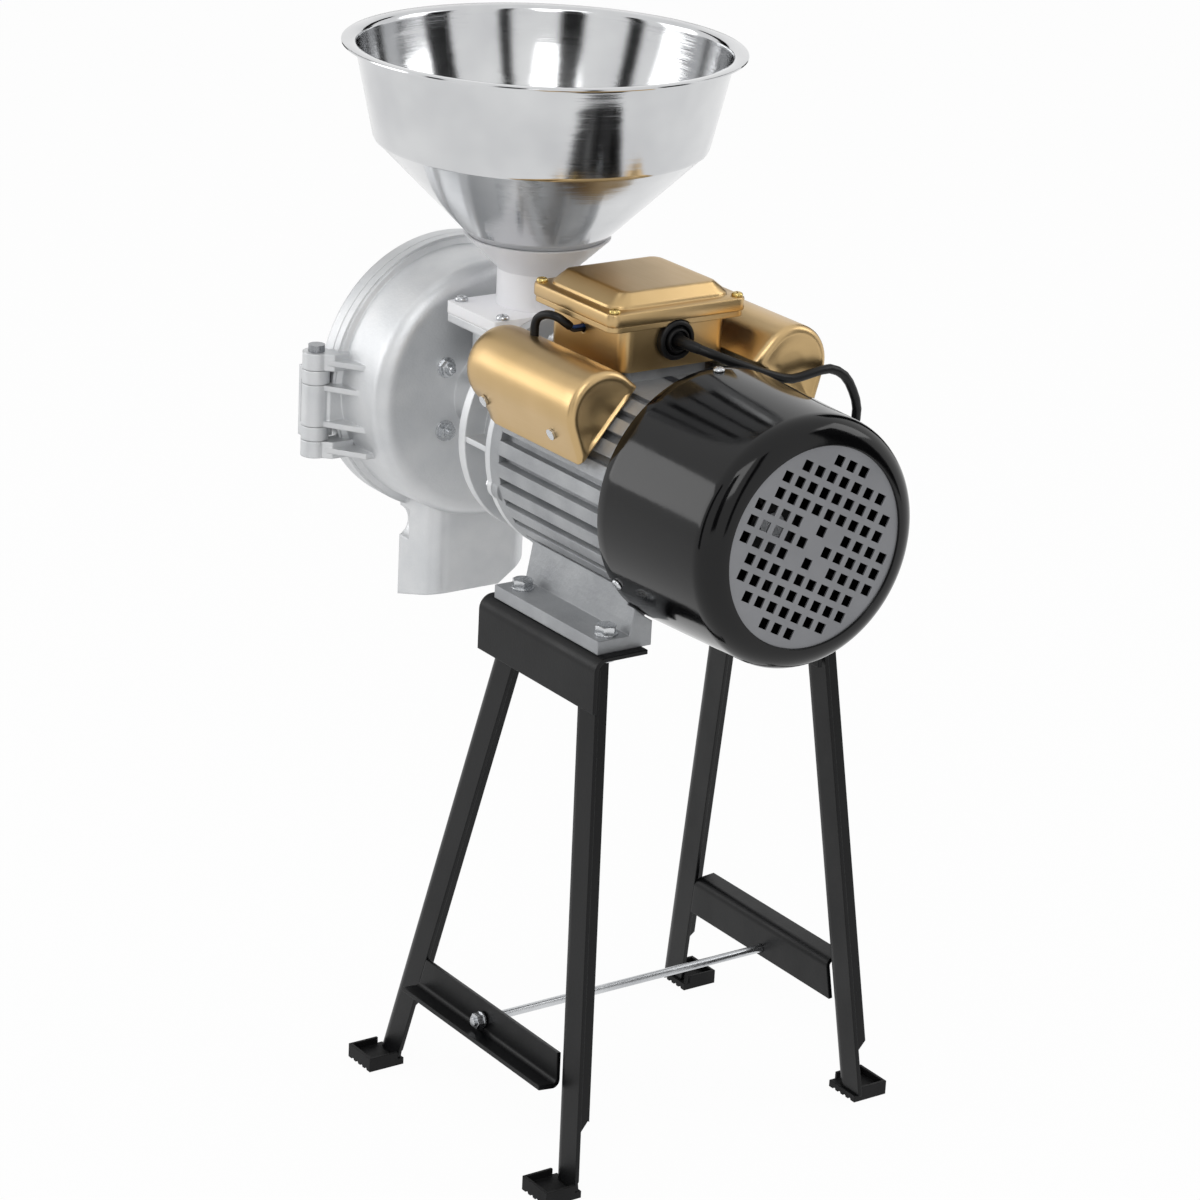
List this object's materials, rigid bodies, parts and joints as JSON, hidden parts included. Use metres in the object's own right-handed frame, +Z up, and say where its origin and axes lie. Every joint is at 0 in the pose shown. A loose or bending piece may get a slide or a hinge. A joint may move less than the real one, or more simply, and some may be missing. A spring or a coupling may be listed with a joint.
{
  "type": "electric grain mill",
  "caption": "Motor-driven disc grain mill on a splayed steel stand, with a steel feed hopper, hinged cast door, finned motor, fan cowl and capacitor covers.",
  "frame": {"origin": "centre of the footprint on the floor, under the middle of the mill's length", "axes": "+X to the fan end, -X to the mill's door, +Z up; the shaft lies along X"},
  "size_m": [0.4998, 0.307, 0.7214],
  "materials": {
    "black_steel": "gloss black paint on folded steel",
    "black_plastic": "matt black moulding",
    "zinc": "zinc plated",
    "motor_alloy": "dull silver casting",
    "iron": "laminated or cast iron",
    "copper": "enamelled winding",
    "steel": "turned steel",
    "grille_steel": "silver painted sheet",
    "gold": "satin gold finish",
    "white_plastic": "milky white moulding",
    "cream_plastic": "cream moulding",
    "cast_alloy": "bead-blasted aluminium casting",
    "stainless": "polished stainless sheet",
    "gloss_black": "gloss black enamel",
    "rubber": "black flexible cord"
  },
  "bodies": {
    "base": {"near_rail": "black_steel", "far_rail": "black_steel", "near_front_leg": "black_steel", "near_rear_leg": "black_steel", "far_front_leg": "black_steel", "far_rear_leg": "black_steel", "near_crossbar": "black_steel", "far_crossbar": "black_steel", "foot_pads": "black_plastic", "tie_rod": "zinc", "tie_rod_nuts": "zinc", "foot_bolts": "zinc", "foot_nuts": "zinc", "motor_feet": "motor_alloy", "motor_frame": "motor_alloy", "stator_core": "iron", "stator_windings": "copper", "front_end_shield": "motor_alloy", "rear_end_shield": "motor_alloy", "shaft_bearings": "steel", "shaft_seal": "rubber", "contact_plate": "black_plastic", "fan_cowl": "gloss_black", "fan_grille": "grille_steel", "cowl_screws": "zinc", "terminal_box": "gold", "terminal_lid": "gold", "lid_screws": "zinc", "terminal_block": "cream_plastic", "cable_gland": "black_plastic", "capacitors": "white_plastic", "near_capacitor_cover": "gold", "far_capacitor_cover": "gold", "cover_screws": "zinc", "capacitor_lead": "rubber", "mains_cord": "rubber", "cord_coil": "rubber", "cord_tail": "rubber", "cord_tie": "black_plastic", "mains_plug": "black_plastic", "mill_housing": "cast_alloy", "bell_bolts": "zinc", "fixed_burr": "iron", "burr_bolts": "zinc", "hinge_pin": "zinc", "swing_pin": "zinc", "inlet_cup": "white_plastic", "cup_screws": "zinc"},
    "rotor": {"motor_shaft": "steel", "rotor_core": "iron", "governor": "cream_plastic", "cooling_fan": "black_plastic", "feed_auger": "iron"},
    "moving_disc": {"moving_burr": "iron"},
    "door_body": {"door": "cast_alloy"},
    "swing_bolt_body": {"swing_bolt": "zinc"},
    "wing_nut_body": {"wing_nut": "zinc"},
    "pad_body": {"thrust_pad": "copper"},
    "screw_body": {"adjusting_screw": "steel"},
    "hopper_body": {"hopper": "stainless"}
  },
  "joints": [
    {"name": "shaft_spin", "type": "hinge", "parent": "base", "child": "rotor", "pos_m": [0, 0, 0.4597], "axis": [1, 0, 0], "continuous": true},
    {"name": "disc_gap_slide", "type": "slide", "parent": "rotor", "child": "moving_disc", "axis": [1, 0, 0], "range_m": [-0.00263, 0.00088]},
    {"name": "door_hinge", "type": "hinge", "parent": "base", "child": "door_body", "pos_m": [-0.19015, -0.112, 0.4597], "axis": [0, 0, 1], "range_deg": [0, 105]},
    {"name": "swing_bolt_turn", "type": "hinge", "parent": "base", "child": "swing_bolt_body", "pos_m": [-0.17455, 0.113, 0.4597], "axis": [0, 0, 1], "range_deg": [0, 135]},
    {"name": "wing_nut_turn", "type": "hinge", "parent": "swing_bolt_body", "child": "wing_nut_body", "pos_m": [-0.17455, 0.113, 0.4597], "axis": [0.7071, 0.7071, 0], "continuous": true},
    {"name": "thrust_pad_slide", "type": "slide", "parent": "door_body", "child": "pad_body", "axis": [1, 0, 0], "range_m": [-0.00263, 0.00088]},
    {"name": "adjusting_screw_turn", "type": "hinge", "parent": "pad_body", "child": "screw_body", "pos_m": [-0.21815, 0, 0.4597], "axis": [1, 0, 0], "range_deg": [-540, 180]},
    {"name": "hopper_lift", "type": "slide", "parent": "base", "child": "hopper_body", "axis": [0, 0, 1], "range_m": [0, 0.06]}
  ],
  "couplings": [
    {"joint": "thrust_pad_slide", "follows": "adjusting_screw_turn", "m_per_rad": 0.00027852},
    {"joint": "disc_gap_slide", "follows": "adjusting_screw_turn", "m_per_rad": 0.00027852}
  ]
}
